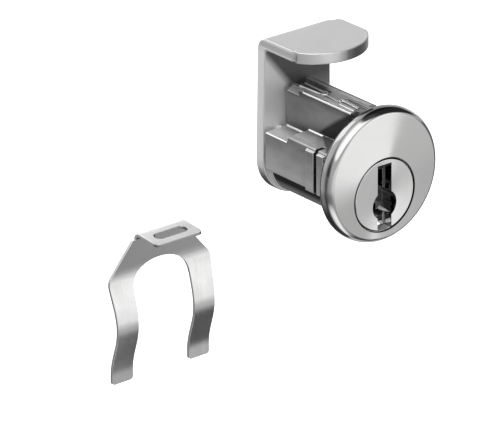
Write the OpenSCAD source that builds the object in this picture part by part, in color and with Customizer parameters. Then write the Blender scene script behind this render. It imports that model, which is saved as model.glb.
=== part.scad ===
// Mailbox lock: a five-pin cam lock with a hook cam, and its horseshoe retaining clip.
// The origin is on the plug's axis, in the plane of the flange's back, which meets the door.
// The key side faces -Y, the body runs towards +Y and the pin chambers stand above the plug.
// The pins are set as the right key sets them, with their joints at the plug's surface.

/* [Face] */
// Diameter of the face flange, dress cap included
flange_d = 23.7; // [23.4:0.1:28]
// Thickness of the face flange, dress cap included
flange_t = 2.9; // [2.5:0.1:4]
// Height of the flange's centre above the plug's axis
flange_rise = 3.25; // [3:0.05:3.6]
// Rounding of the flange's front edge, towards the centre
flange_round = 1.1; // [0.8:0.1:1.5]
// Rounding of the flange's front edge, towards the back
flange_round_deep = 1.6; // [1.2:0.1:1.7]
// Rolled rounding of the flange's back edge, towards the centre
back_round = 0.35; // [0.2:0.05:0.4]
// Rolled rounding of the flange's back edge, towards the front
back_round_deep = 0.8; // [0.6:0.1:1]
// Sheet thickness of the dress cap
cap_t = 0.35; // [0.25:0.05:0.5]
// Width of the cap's lip, crimped over behind the flange
cap_lip = 0.65; // [0.5:0.05:0.7]

/* [Plug] */
// Diameter of the plug's face
plug_face_d = 12.7; // [12:0.1:13.5]
// Diameter of the plug behind its face
plug_d = 10.1; // [9.8:0.1:10.4]
// Width of the key slot in the face
key_slot_w = 2.95; // [2.4:0.05:3.2]
// Height of the key slot's top above the axis
key_slot_top = 5.45; // [4.8:0.05:5.6]
// Depth of the key slot in the face, in front of the wards
key_slot_depth = 1.9; // [1:0.1:2.4]
// Diameter of the round guide hole in the face
key_bore_d = 5.1; // [4.2:0.1:5.4]
// Depth of the guide hole
key_bore_depth = 3.6; // [2:0.1:4.4]
// Distance of the guide hole below the axis
key_bore_drop = 1.8; // [1:0.1:2.2]
// Width of the warded keyway behind the slot
keyway_w = 2.2; // [1.8:0.1:2.4]
// Height of the warded keyway's top above the axis
keyway_top = 3.9; // [3.4:0.1:4.2]
// Height of the upper ward's shoulder
upper_ward_z = -0.3; // [-0.8:0.1:0.4]
// Height of the lower ward's shoulder
lower_ward_z = -2.6; // [-3.2:0.1:-2]
// Diameter of the plug's tail, which carries the cam
tail_d = 7; // [6.4:0.1:7.6]
// Width across the tail's two flats
tail_flats = 5.4; // [4.8:0.1:6]

/* [Housing] */
// Length of the housing behind the flange's back
body_l = 19.3; // [19:0.1:23]
// Wall of the round housing around the plug
tube_wall = 1.05; // [0.8:0.05:1.2]
// Width of the pin chamber block
tower_w = 5.4; // [5.2:0.1:6.4]
// Height of the pin chamber block's top above the axis
tower_top = 13.75; // [13.2:0.05:13.8]
// Width over the two side ears
ear_span = 15; // [14.2:0.1:16]
// Height of the ears' outer top edge
ear_top = 7.25; // [6.8:0.05:8]
// Height of the ears' underside
ear_bottom = -0.5; // [-1:0.1:1]
// Rise of the ears' tops from their outer edge to the block
ear_slope = 0.15; // [0.1:0.05:0.6]
// Distance from the flange's back to the step in the ears
ear_step_y = 13.4; // [11:0.1:15]
// Height of the step in the ears
ear_step = 1; // [0.4:0.05:1.3]
// Diameter of the round hub behind the flange
hub_d = 17.8; // [17:0.1:18.4]
// Length of the hub
hub_l = 2.3; // [1.5:0.1:3]
// Distance from the flange's back to the clip groove
groove_y = 5.4; // [5.2:0.05:6.4]
// Height of the ribs beside the clip groove
rib_h = 0.4; // [0.2:0.05:0.6]
// Width of the rib in front of the groove
front_rib_w = 1.8; // [0.8:0.05:2]
// Width of the rib behind the groove
rear_rib_w = 2.1; // [1:0.05:3]

/* [Pins] */
// Distance from the flange's back to the first pin
first_pin_y = 3.4; // [3:0.1:3.8]
// Distance from the last pin to the housing's rear end
last_pin_gap = 2.7; // [2.4:0.1:3.4]
// Wall between one pin's bore and the next
bore_wall = 0.5; // [0.4:0.05:0.8]
// Length of each driver pin
driver_l = 3.4; // [2.6:0.1:4]
// Wire diameter of the pin springs
spring_wire = 0.28; // [0.2:0.01:0.34]
// Turns in each pin spring
spring_turns = 5; // [4:0.5:6]
// How far the cover strip reaches past each side of the chambers
cover_edge = 0.05; // [0.05:0.05:0.25]
// Thickness of the cover strip
cover_t = 0.55; // [0.4:0.05:0.7]

/* [Cam] */
// Thickness of the cam's metal
cam_t = 2; // [1.5:0.1:2.4]
// Width of the cam's plate
cam_w = 14.7; // [13.9:0.05:15]
// Height of the hook's top above the axis
cam_top = 22.65; // [20:0.05:26]
// Distance from the axis down to the plate's lower end
cam_foot = 6.5; // [6:0.1:7.5]
// Corner radius of the plate's lower end, nearly half the plate's width
cam_corner = 7.2; // [2:0.1:7.2]
// Inner radius of the bend between plate and hook
cam_bend = 0.35; // [0.2:0.05:1]
// Reach of the hook forward of the plate's back
hook_reach = 14.65; // [11:0.05:15]
// Radius of the hook's rounded front
hook_r = 9.05; // [8.8:0.05:12]
// Centre of the hook's rounded front to the right of the axis
hook_x = 0.95; // [0.8:0.05:1.5]
// Left edge of the hook's head, from the axis
hook_left = 6.8; // [6.6:0.1:7]
// Right edge of the hook's head, from the axis
hook_right = 9.1; // [9:0.05:9.4]
// Length of the straight side between the hook's rounded front and its side notch
notch_l = 0.3; // [0.1:0.1:2]
// Depth of the side notch
notch_d = 0.3; // [0.1:0.05:0.6]

/* [Clip] */
// Sheet thickness of the retaining clip
clip_t = 0.5; // [0.4:0.05:0.6]
// Gap between the clip's legs
clip_gap = 11.5; // [11.5:0.05:12.2]
// Width of each leg at its foot
leg_w = 4.25; // [3.5:0.05:5]
// Width over the clip's shoulders
shoulder_span = 20.9; // [20.4:0.1:23]
// Height of the clip
clip_h = 25.7; // [25:0.1:28]
// Height of the web above the arch
web_h = 5.4; // [4:0.1:6]
// Width of the clip's pull tab
tab_w = 9.5; // [8:0.1:12]
// Length of the pull tab
tab_l = 5; // [4:0.1:6]
// Slope of the pull tab, in degrees
tab_slope = 4; // [0:1:10]
// Length of the slot in the tab
tab_slot_l = 6.5; // [4:0.1:7]
// Width of the slot in the tab
tab_slot_w = 2.1; // [1:0.1:2.4]
// How far the legs bow forward
clip_bow = 1.8; // [0.8:0.1:2]
// Where the clip lies beside the lock: distance to its left
clip_apart = 40.85; // [36:0.05:60]
// Where the clip lies beside the lock: height of its top
clip_top = 2.95; // [-10:0.1:10]

/* [Hidden] */

$fn = 64;
eps = 0.01;
// Running clearance on a radius, and end play between faces that slide
run = 0.05;
play = 0.05;
// Clearance around parts that are pushed together
snug = 0.03;
// Visible ring between the plug's face and the cap
ring_gap = 0.17;
// Overlap by which cutters pass a face
past = 1;

flange_r = flange_d / 2;
plug_face_r = plug_face_d / 2;
plug_r = plug_d / 2;
tube_r = plug_r + run + tube_wall;
// Depth of the counterbore for the plug's head, behind the flange's back
head_l = 0.2;

ear_x = ear_span / 2;
ear_inner = tower_w / 2;
groove_w = clip_t + 0.28;
groove_floor = clip_gap / 2 - 0.1;
rib_top_drop = 0.45;
rib_foot = 0.2;
// Rebate at the rear left corner of the chamber block, sloping down from its inner wall
rebate_l = 3;
rebate_w = 1.1;
rebate_h = 1.15;
rebate_in = 0.35;
rebate_slope = (rebate_h - rebate_in) / rebate_w;
front_rib_y = groove_y - front_rib_w;
rear_rib_y = groove_y + groove_w + rear_rib_w;

// Number of pins, each in its own bore, at equal distances along the body
pins = 5;
pin_pitch = (body_l - last_pin_gap - first_pin_y) / (pins - 1);
pin_bore_r = (pin_pitch - bore_wall) / 2;
pin_r = pin_bore_r - run;
// Heights of the pins' lower tips, which the key's cuts set
tip_z = [2.1, 1.2, 1.8, 0.9, 1.5];
// Floor of the plug's pin bores
pin_floor_z = 0.5;
pin_top_z = plug_r - 0.07;
driver_z = plug_r + run + 0.02;
driver_top = driver_z + driver_l;
cover_z = tower_top - cover_t;
cover_w = 2 * (pin_bore_r + cover_edge);
cover_start = first_pin_y - pin_bore_r - 0.3;
cover_end = body_l - 0.4;
spring_r = pin_r - 0.4;
function pin_y(i) = first_pin_y + i * pin_pitch;
keyway_end = pin_y(pins - 1) + pin_bore_r + 0.1;

washer_y = body_l + play;
washer_t = 0.7;
cam_y = washer_y + washer_t;
cam_back = cam_y + cam_t;
lock_washer_t = 0.7;
lock_washer_w = 1.4;
lock_washer_split = 0.4;
tail_end = cam_back - 0.1;
lug_angle = -40;
turn = 90;
lug_w = 2.4;
lug_r = 7.4;
stop_r = 7.2;
stop_pin_r = 0.7;
stop_pin_l = 2.6;
stop_angle = asin((lug_w / 2 + stop_pin_r + play) / stop_r);
screw_r = 1.75;
screw_l = 3.1;
screw_head_r = 3.6;
screw_head_t = 1.9;
screw_head_round = 1.2;

bend_r = cam_t + cam_bend;
hook_y = cam_back - hook_reach;
hook_arc_y = hook_y + hook_r;
// How much narrower the plate's left side is at the hook than at the axis
cam_taper = 0.5;

clip_y = groove_y + groove_w / 2;
clip_fillet = 0.8;
tab_corner = 1;
// Depths below the clip's top where the legs start to bow, bow furthest and run straight again
web_flat = 5.5;
bow_peak = 15.5;
bow_end = 24;
// Depths of the clip's shoulders, of the arch's foot and of the legs' narrowest place
shoulder_z = 7.4;
arch_z = 10;
leg_z = 14.4;

// Points of an arc about c, from angle a to angle b in n steps
function arc(c, r, a, b, n) = [for (i = [0 : n]) let (t = a + (b - a) * i / n)
    c + r * [cos(t), sin(t)]];
function unit(v) = v / norm(v);
// The corner at p between a and b, rounded with radius r in n steps
function corner(a, p, b, r, n) = let (u = unit(a - p), v = unit(b - p), w = unit(u + v),
    half = acos(u * v) / 2, c = p + w * r / sin(half), s = p + u * r / tan(half) - c,
    e = p + v * r / tan(half) - c, a0 = atan2(s[1], s[0]), d = atan2(e[1], e[0]) - a0,
    sweep = d > 180 ? d - 360 : d < -180 ? d + 360 : d) arc(c, r, a0, a0 + sweep, n);
// An outline whose corners are given as [x, y, radius]; a radius of 0 stays sharp
function rounded(pts, n = 4) = let (k = len(pts)) [for (i = [0 : k - 1])
    let (q = pts[i], p = [q[0], q[1]], a = pts[(i + k - 1) % k], b = pts[(i + 1) % k])
    each q[2] == 0 ? [p] : corner([a[0], a[1]], p, [b[0], b[1]], q[2], n)];

// Extrudes a drawing in X and Z from y0 to y1
module along(y0, y1) {
    translate([0, y1, 0])
    rotate([90, 0, 0])
    linear_extrude(height = y1 - y0)
    children();
}

// Extrudes a drawing in Y and Z from x0 to x1
module across(x0, x1) {
    translate([x0, 0, 0])
    rotate([90, 0, 90])
    linear_extrude(height = x1 - x0)
    children();
}

// Turns a drawing of radius and forward distance about a Y axis at height z
module turned(z) {
    translate([0, 0, z])
    rotate([90, 0, 0])
    rotate_extrude($fn = 96)
    children();
}

// Half section of the flange, drawn in by the given margin at its rim and front, from height z0
module flange_section(margin, z0) {
    r = flange_r - margin;
    t = flange_t - margin;
    edge = [flange_round, flange_round_deep] - margin * [1, 1];
    polygon(concat([[0, z0], [r, z0]],
        [for (a = [0 : 9 : 90]) [r, t] - edge + [edge[0] * cos(a), edge[1] * sin(a)]], [[0, t]]));
}

// Half section of the dress cap's outside, with its rolled back edge
module cap_section() {
    function back_edge(a) = [back_round * (cos(a) - 1), back_round_deep * (sin(a) + 1)];
    intersection() {
        flange_section(0, 0);
        polygon(concat([[0, flange_t + past], [0, 0]],
            [for (a = [-90 : 15 : 0]) [flange_r, 0] + back_edge(a)],
            [[flange_r, flange_t + past]]));
    }
}

// Section across one ear and its mirror image, lowered by the given amount at the top
module ear_section(drop) {
    t = ear_top - drop;
    s = t + ear_slope;
    polygon(rounded([[-ear_x, ear_bottom, 0.25], [-ear_x, t, 0.3], [-ear_inner, s, 0],
        [ear_inner, s, 0], [ear_x, t, 0.3], [ear_x, ear_bottom, 0.25]]));
}

// Section across the pin chamber block
module tower_section() {
    polygon(rounded([[-tower_w / 2, 0, 0], [-tower_w / 2, tower_top, 0.4],
        [tower_w / 2, tower_top, 0.4], [tower_w / 2, 0, 0]]));
}

// The two ribs of one ear, beside the clip groove
module ribs() {
    for (span = [[front_rib_y, groove_y], [groove_y + groove_w, rear_rib_y]])
        along(span[0], span[1])
            polygon(rounded([[-ear_x - rib_h, ear_bottom - rib_foot, 0.2],
                [-ear_x - rib_h, ear_top - rib_top_drop, 0.25],
                [-ear_x + rib_h, ear_top - rib_top_drop, 0],
                [-ear_x + rib_h, ear_bottom - rib_foot, 0]], 3));
}

// Place of a piece on the housing's rear face, at radius r and angle a from the top
module rear_place(r, a) {
    translate([r * sin(a), 0, r * cos(a)]) children();
}

// Bores of the two stop pins, or the pins themselves
module stop_pin_pair(r) {
    for (a = [lug_angle - stop_angle, lug_angle + turn + stop_angle])
        rear_place(stop_r, a)
            along(body_l - stop_pin_l, body_l + washer_t - play) circle(r);
}

module housing() {
    color("silver")
    difference() {
        union() {
            // Core of the flange, inside the dress cap
            turned(flange_rise) flange_section(cap_t + snug, cap_t + snug);
            translate([0, 0, flange_rise]) along(-cap_t - 0.5, hub_l) circle(hub_d / 2);
            along(-cap_t - 0.5, body_l) circle(tube_r);
            along(-cap_t - 0.5, body_l) tower_section();
            along(-cap_t - 0.5, ear_step_y) ear_section(0);
            along(ear_step_y - eps, body_l) ear_section(ear_step);
            ribs();
            mirror([1, 0, 0]) ribs();
        }
        // Seat of the plug's head and bore of the plug
        along(-flange_t - past, head_l + play) circle(plug_face_r + run);
        along(0, body_l + past) circle(plug_r + run);
        // Pin chambers
        for (i = [0 : pins - 1])
            translate([0, pin_y(i), plug_r - 1]) cylinder(r = pin_bore_r, h = tower_top);
        // Channel of the cover strip
        translate([-cover_w / 2 - snug, cover_start - snug, cover_z])
            cube([cover_w + 2 * snug, body_l, tower_top]);
        // Grooves for the clip's legs
        for (s = [-1, 1])
            translate([s * (groove_floor + past + rib_h * 4) , groove_y + groove_w / 2, ear_top / 2])
                cube([2 * (past + rib_h * 4), groove_w, 4 * ear_top], center = true);
        // Sloped rebate at the rear left corner of the chamber block
        along(body_l - rebate_l, body_l + past)
            polygon([[-tower_w / 2 - past, tower_top - rebate_h - past * rebate_slope],
                [rebate_w - tower_w / 2, tower_top - rebate_in], [rebate_w - tower_w / 2, tower_top + past],
                [-tower_w / 2 - past, tower_top + past]]);
        stop_pin_pair(stop_pin_r);
    }
}

module face_cap() {
    color("gainsboro")
    difference() {
        turned(flange_rise) cap_section();
        // Hollow for the flange's core, open towards the back inside the lip
        turned(flange_rise) flange_section(cap_t, cap_t);
        translate([0, 0, flange_rise])
            along(-cap_t - eps, past) circle(flange_r - cap_t - cap_lip);
        // Window of the plug's face
        along(-flange_t - past, past) circle(plug_face_r + ring_gap);
    }
}

// Section of the warded keyway, open at the bottom
module keyway_section() {
    w = keyway_w / 2;
    low = -plug_face_r - past;
    polygon([[-w, low], [w, low], [w, lower_ward_z - 0.35], [w - 1.3, lower_ward_z],
        [w - 1.3, upper_ward_z - 0.7], [w, upper_ward_z - 0.35], [w, keyway_top],
        [w - 1.2, keyway_top], [w - 1.2, upper_ward_z + 0.35], [-w, upper_ward_z]]);
}

module plug() {
    color("lightgray")
    difference() {
        union() {
            // Face with a small chamfer
            turned(0)
                polygon([[0, -head_l], [plug_face_r, -head_l], [plug_face_r, flange_t - 0.15],
                    [plug_face_r - 0.15, flange_t], [0, flange_t]]);
            along(0, washer_y) circle(plug_r);
            along(washer_y - eps, tail_end)
                intersection() {
                    circle(tail_d / 2);
                    square([tail_flats, tail_d + past], center = true);
                }
        }
        along(-flange_t - past, keyway_end) keyway_section();
        // Wide slot and round guide hole in the face
        along(-flange_t - past, -flange_t + key_slot_depth)
            translate([-key_slot_w / 2, -plug_face_r - past])
                square([key_slot_w, plug_face_r + past + key_slot_top]);
        along(-flange_t - past, -flange_t + key_bore_depth)
            translate([0, -key_bore_drop]) circle(key_bore_d / 2);
        for (i = [0 : pins - 1])
            translate([0, pin_y(i), pin_floor_z]) cylinder(r = pin_bore_r, h = plug_r + past);
        along(tail_end - screw_l - 0.1, tail_end + past) circle(screw_r);
    }
}

// A bottom pin: a pointed tip below, and a top that follows the plug's surface
module bottom_pin(i) {
    color("goldenrod")
    translate([0, pin_y(i), 0])
    rotate_extrude()
    polygon([[0, tip_z[i]], [0.45, tip_z[i]], [pin_r, tip_z[i] + 0.6], [pin_r, pin_top_z - 0.3],
        [0.7, pin_top_z], [0, pin_top_z]]);
}

// A driver pin, waisted in the middle
module driver_pin(i) {
    color("darkgoldenrod")
    translate([0, pin_y(i), driver_z])
    rotate_extrude()
    polygon([[0, 0], [pin_r - 0.15, 0], [pin_r, 0.15], [pin_r, driver_l * 0.3],
        [pin_r - 0.3, driver_l * 0.4], [pin_r - 0.3, driver_l * 0.6], [pin_r, driver_l * 0.7],
        [pin_r, driver_l - 0.15], [pin_r - 0.15, driver_l], [0, driver_l]]);
}

// A pin spring: one wire wound from the driver pin up to the cover strip
module pin_spring(i) {
    sides = 6;
    per_turn = 12;
    rings = spring_turns * per_turn;
    wire_r = spring_wire / 2;
    low = driver_top + wire_r + 0.02;
    high = cover_z - wire_r - 0.02;
    pts = [for (k = [0 : rings]) let (t = 360 * k / per_turn, z = low + (high - low) * k / rings)
        for (j = [0 : sides - 1]) let (a = 360 * j / sides, r = spring_r + wire_r * cos(a))
            [r * cos(t), r * sin(t), z + wire_r * sin(a)]];
    walls = [for (k = [0 : rings - 1]) for (j = [0 : sides - 1])
        let (a = k * sides + j, b = k * sides + (j + 1) % sides)
        each [[a, b, b + sides], [a, b + sides, a + sides]]];
    first_cap = [for (j = [1 : sides - 2]) [0, j + 1, j]];
    last = rings * sides;
    last_cap = [for (j = [1 : sides - 2]) [last, last + j, last + j + 1]];
    color("slategray")
    translate([0, pin_y(i), 0])
    polyhedron(points = pts, faces = concat(walls, first_cap, last_cap));
}

// The strip that closes the chambers, with a pressed slot at each end
module pin_cover() {
    slot_w = 1.6;
    slot_d = 0.3;
    rear_slot_y = 12.3;
    front_slot_y = 7.8;
    color("gray")
    difference() {
        translate([-cover_w / 2, cover_start, cover_z + snug])
            cube([cover_w, cover_end - cover_start, cover_t - snug]);
        translate([-slot_w / 2, rear_slot_y, tower_top - slot_d])
            cube([slot_w, body_l, 2 * slot_d]);
        translate([0, rear_slot_y, tower_top - slot_d])
            cylinder(r = slot_w / 2, h = 2 * slot_d);
        translate([-slot_w / 2, 0, tower_top - slot_d])
            cube([slot_w, front_slot_y, 2 * slot_d]);
    }
}

module stop_pins() {
    color("dimgray") stop_pin_pair(stop_pin_r - snug);
}

// Hole that fits the plug's tail
module tail_hole() {
    intersection() {
        circle(tail_d / 2 + snug);
        square([tail_flats + 2 * snug, tail_d + past], center = true);
    }
}

module stop_washer() {
    color("darkgray")
    along(washer_y, cam_y)
    difference() {
        union() {
            circle(tube_r);
            rotate(-lug_angle)
                translate([-lug_w / 2, 0])
                    square([lug_w, lug_r]);
        }
        tail_hole();
    }
}

// Side view of the cam's bent metal, in Y and Z, with the plate running down to the foot
module cam_side() {
    c = [cam_back - bend_r, cam_top - bend_r];
    polygon(concat([[cam_y, -cam_foot - past], [cam_back, -cam_foot - past]],
        arc(c, bend_r, 0, 90, 8),
        [[hook_y - past, cam_top], [hook_y - past, cam_top - cam_t]],
        arc(c, cam_bend, 90, 0, 4)));
}

// Front view of the cam: the plate with its rounded foot, and the hook's full width on top
module cam_front() {
    w = cam_w / 2;
    under = cam_top - cam_t - eps;
    foot = min(cam_corner, w - play);
    polygon(rounded([[cam_taper - w, cam_top + past, 0], [cam_taper - w, under, 0],
        [-w, foot - cam_foot + play, 0],
        [-w, -cam_foot, foot], [w, -cam_foot, foot], [w, under, 0], [hook_right + past, under, 0],
        [hook_right + past, cam_top + past, 0]], 16));
}

// Top view of the cam: the neck, the side notch and the hook's rounded front
module cam_plan() {
    w = cam_w / 2;
    arc_l = acos(min(1, (hook_x + hook_left) / hook_r));
    arc_r = acos(min(1, (hook_right - hook_x) / hook_r));
    notch_x = hook_left - notch_d;
    notch = hook_arc_y - hook_r * sin(arc_l) + notch_l;
    bend_y = cam_back - bend_r;
    polygon(concat([[-w - past, cam_back + past], [-w - past, notch + 2 * notch_d],
        [-notch_x, notch + 2 * notch_d], [-notch_x, notch + notch_d], [-hook_left, notch]],
        arc([hook_x, hook_arc_y], hook_r, arc_l - 180, -arc_r, 24),
        [[hook_right, bend_y - 0.8], [hook_right - 0.5, bend_y], [w - eps, bend_y],
        [w - eps, cam_back + past]]));
}

module cam() {
    color("darkgray")
    difference() {
        intersection() {
            across(-cam_w, hook_right + 2 * past) cam_side();
            along(hook_y - 2 * past, cam_back + 2 * past) cam_front();
            translate([0, 0, -cam_foot - 2 * past])
                linear_extrude(height = cam_foot + cam_top + 4 * past) cam_plan();
        }
        along(cam_y - past, cam_back + past) tail_hole();
    }
}

module lock_washer() {
    color("lightsteelblue")
    along(cam_back, cam_back + lock_washer_t)
    difference() {
        circle(screw_r + 2 * play + lock_washer_w);
        circle(screw_r + 2 * play);
        // Split of the ring
        rotate(-20) translate([0, screw_r]) square([lock_washer_split, 2 * lock_washer_w]);
    }
}

module cam_screw() {
    head_y = cam_back + lock_washer_t;
    recess_w = 0.9;
    color("lightsteelblue")
    difference() {
        union() {
            along(tail_end - screw_l, head_y + eps) circle(screw_r - snug);
            // Pan head
            translate([0, head_y, 0])
                rotate([-90, 0, 0])
                rotate_extrude()
                polygon(concat([[0, 0], [screw_head_r, 0]],
                    arc([screw_head_r, screw_head_t] - screw_head_round * [1, 1], screw_head_round, 0, 90, 5),
                    [[0, screw_head_t]]));
        }
        // Cross recess
        for (a = [0, 90])
            rotate([0, a, 0])
                translate([-recess_w / 2, head_y + screw_head_t - 1.1, -2])
                    cube([recess_w, 3, 4]);
    }
}

// Forward lean of the clip's sheet at depth z below its top: flat web, bowed legs, straight feet
function clip_lean(z) = z < web_flat || z > bow_end ? 0
    : z < bow_peak ? clip_bow * (1 - cos(180 * (z - web_flat) / (bow_peak - web_flat))) / 2
    : clip_bow * (1 + cos(180 * (z - bow_peak) / (bow_end - bow_peak))) / 2;
function clip_path(z) = [-clip_lean(z), -z];
// Side view of the sheet from its bend down to its feet, as forward distance and height
function clip_side(sign, z0) = [for (i = [0 : 32]) let (z = z0 + (clip_h - z0) * i / 32,
    t = unit(clip_path(z + 0.05) - clip_path(z - 0.05)), n = [-t[1], t[0]])
    clip_path(z) + n * sign * clip_t / 2];

// Front view of the clip's web and legs
module clip_front() {
    g = clip_gap / 2;
    s = shoulder_span / 2;
    o = g + leg_w;
    left = concat([[-tab_w / 2, 1], [-tab_w / 2, -0.6]],
        corner([-tab_w / 2, -0.6], [-s, -shoulder_z], [-o, -leg_z], 2, 5),
        [[-o - 0.1, -leg_z + 2.5], [-o, -leg_z], [-o, -leg_z - 4]],
        corner([-o, -leg_z - 4], [-o - 0.1, -clip_h], [0, -clip_h], 0.6, 4),
        corner([-o, -clip_h], [-g, -clip_h], [-g, -leg_z], 0.6, 4),
        [[-g, -leg_z], [-g, -arch_z]],
        [for (a = [170 : -10 : 100]) [g * cos(a), -arch_z + (arch_z - web_h) * pow(sin(a), 0.8)]]);
    right = [for (i = [len(left) - 1 : -1 : 0]) [-left[i][0], left[i][1]]];
    polygon(concat(left, [[0, -web_h]], right));
}

module retaining_clip() {
    r = clip_fillet + clip_t;
    tab_front = clip_t / 2 - r - tab_l * cos(tab_slope);
    tab_drop = tab_l * sin(tab_slope);
    slot_r = tab_slot_w / 2 - eps;
    slot_y = -r - tab_l / 2 + 0.4;
    color("gainsboro")
    translate([-clip_apart, clip_y, clip_top])
    union() {
        // Web and legs: the bowed sheet, cut to the clip's outline
        intersection() {
            across(-shoulder_span, shoulder_span)
                    polygon(concat([for (p = clip_side(1, r)) [p[0], p[1]]],
                        [for (i = [32 : -1 : 0]) clip_side(-1, r)[i]]));
            along(-8, 8) clip_front();
        }
        // Bend and pull tab, with rounded front corners
        difference() {
            intersection() {
                across(-tab_w / 2, tab_w / 2)
                    polygon(concat(
                        arc([clip_t / 2 - r, -r], r, 0, 90 + tab_slope, 6),
                        [[tab_front, -tab_drop], [tab_front, -tab_drop - clip_t]],
                        arc([clip_t / 2 - r, -r], clip_fillet, 90 + tab_slope, 0, 6)));
                translate([0, 0, -3 * past])
                    linear_extrude(height = 4 * past)
                    polygon(rounded([[-tab_w / 2, past, 0], [-tab_w / 2, tab_front, tab_corner],
                        [tab_w / 2, tab_front, tab_corner], [tab_w / 2, past, 0]], 6));
            }
            // Slot with round ends
            translate([0, slot_y, -3 * past])
                linear_extrude(height = 4 * past)
                polygon(rounded([[-tab_slot_l / 2, -slot_r, slot_r], [tab_slot_l / 2, -slot_r, slot_r],
                    [tab_slot_l / 2, slot_r, slot_r], [-tab_slot_l / 2, slot_r, slot_r]], 8));
        }
    }
}

housing();
face_cap();
plug();
bottom_pin(0);  // bottom_pin_1
bottom_pin(1);  // bottom_pin_2
bottom_pin(2);  // bottom_pin_3
bottom_pin(3);  // bottom_pin_4
bottom_pin(4);  // bottom_pin_5
driver_pin(0);  // driver_pin_1
driver_pin(1);  // driver_pin_2
driver_pin(2);  // driver_pin_3
driver_pin(3);  // driver_pin_4
driver_pin(4);  // driver_pin_5
pin_spring(0);  // pin_spring_1
pin_spring(1);  // pin_spring_2
pin_spring(2);  // pin_spring_3
pin_spring(3);  // pin_spring_4
pin_spring(4);  // pin_spring_5
pin_cover();
stop_pins();
stop_washer();
cam();
lock_washer();
cam_screw();
retaining_clip();
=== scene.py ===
"""Mailbox lock with its retaining clip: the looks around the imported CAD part."""
import math
from collections import namedtuple

import bpy
from mathutils import Matrix, Vector


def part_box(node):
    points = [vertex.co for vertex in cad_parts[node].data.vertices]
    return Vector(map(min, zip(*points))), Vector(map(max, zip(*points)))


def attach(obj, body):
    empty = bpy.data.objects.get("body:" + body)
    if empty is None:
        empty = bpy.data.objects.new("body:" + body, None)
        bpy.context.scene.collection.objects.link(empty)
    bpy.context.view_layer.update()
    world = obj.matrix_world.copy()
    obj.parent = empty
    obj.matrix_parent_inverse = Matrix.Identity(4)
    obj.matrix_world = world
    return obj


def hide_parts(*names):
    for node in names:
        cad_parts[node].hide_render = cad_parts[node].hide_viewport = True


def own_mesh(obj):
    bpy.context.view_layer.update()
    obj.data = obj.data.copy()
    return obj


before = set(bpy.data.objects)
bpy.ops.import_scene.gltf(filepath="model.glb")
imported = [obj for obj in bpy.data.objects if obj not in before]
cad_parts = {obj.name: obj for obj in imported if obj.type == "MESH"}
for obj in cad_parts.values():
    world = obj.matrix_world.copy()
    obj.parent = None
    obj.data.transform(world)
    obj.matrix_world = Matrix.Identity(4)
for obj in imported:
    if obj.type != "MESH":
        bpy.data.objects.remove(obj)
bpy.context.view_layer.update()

MM = 0.001
QUARTER = math.pi / 2
PINS = range(1, 6)

# The flange's radius, the height of its centre above the plug's axis, and the clip's top
CAP_LOW, CAP_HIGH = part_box("face_cap")
FLANGE_R = (CAP_HIGH.z - CAP_LOW.z) / 2
FLANGE_Z = (CAP_LOW.z + CAP_HIGH.z) / 2
CLIP_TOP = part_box("retaining_clip")[1].z


# ---------------------------------------------------------------- shaping tools

EDGE_MARK = "rounded_edge"
MERGE_DISTANCE = 0.000002
FLAT_ANGLE = math.radians(0.4)
EDGE_ANGLE = math.radians(28)
LARGE_FACE_WEIGHT = 80
# The angles, in degrees, below which edged pieces, round pieces and beads look smooth
SMOOTH_EDGED, SMOOTH_ROUND, SMOOTH_BEAD = 38, 35, 40
BEAD_RESOLUTION = 8


def select_only(piece):
    """Makes one piece the only selected and active object."""
    bpy.ops.object.select_all(action="DESELECT")
    piece.select_set(True)
    bpy.context.view_layer.objects.active = piece


def smooth(piece, degrees):
    """Shades a piece smooth wherever its faces meet at less than the given angle."""
    select_only(piece)
    bpy.ops.object.shade_smooth_by_angle(angle=math.radians(degrees))


def merged_copy(node, name):
    """A copy of a CAD node's mesh with its doubles merged and its flat faces joined."""
    piece = bpy.data.objects.new(name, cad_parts[node].data.copy())
    piece.data.name = name
    piece.data.materials.clear()
    bpy.context.scene.collection.objects.link(piece)
    select_only(piece)
    if piece.data.has_custom_normals:
        bpy.ops.mesh.customdata_custom_splitnormals_clear()
    bpy.ops.object.mode_set(mode="EDIT")
    bpy.ops.mesh.select_all(action="SELECT")
    bpy.ops.mesh.remove_doubles(threshold=MERGE_DISTANCE)
    bpy.ops.mesh.dissolve_limited(angle_limit=FLAT_ANGLE)
    bpy.ops.object.mode_set(mode="OBJECT")
    return piece


def soften(piece, width, segments):
    """Rounds every sharp edge, marks the rounded faces and smooths them all."""
    select_only(piece)
    for slot in ("metal", "rounded"):
        piece.data.materials.append(bpy.data.materials.new(slot))
    bevel = piece.modifiers.new("edges", "BEVEL")
    bevel.width = width
    bevel.segments = segments
    bevel.limit_method = "ANGLE"
    bevel.angle_limit = EDGE_ANGLE
    bevel.use_clamp_overlap = False
    bevel.material = 1
    bpy.ops.object.modifier_apply(modifier="edges")
    mesh = piece.data
    mark = mesh.attributes.new(EDGE_MARK, "FLOAT", "FACE")
    for face in mesh.polygons:
        mark.data[face.index].value = float(face.material_index)
        face.material_index = 0
    mesh.materials.clear()
    smooth(piece, SMOOTH_EDGED)
    weigh = piece.modifiers.new("normals", "WEIGHTED_NORMAL")
    weigh.keep_sharp = True
    weigh.weight = LARGE_FACE_WEIGHT
    bpy.ops.object.modifier_apply(modifier="normals")
    return piece


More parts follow.
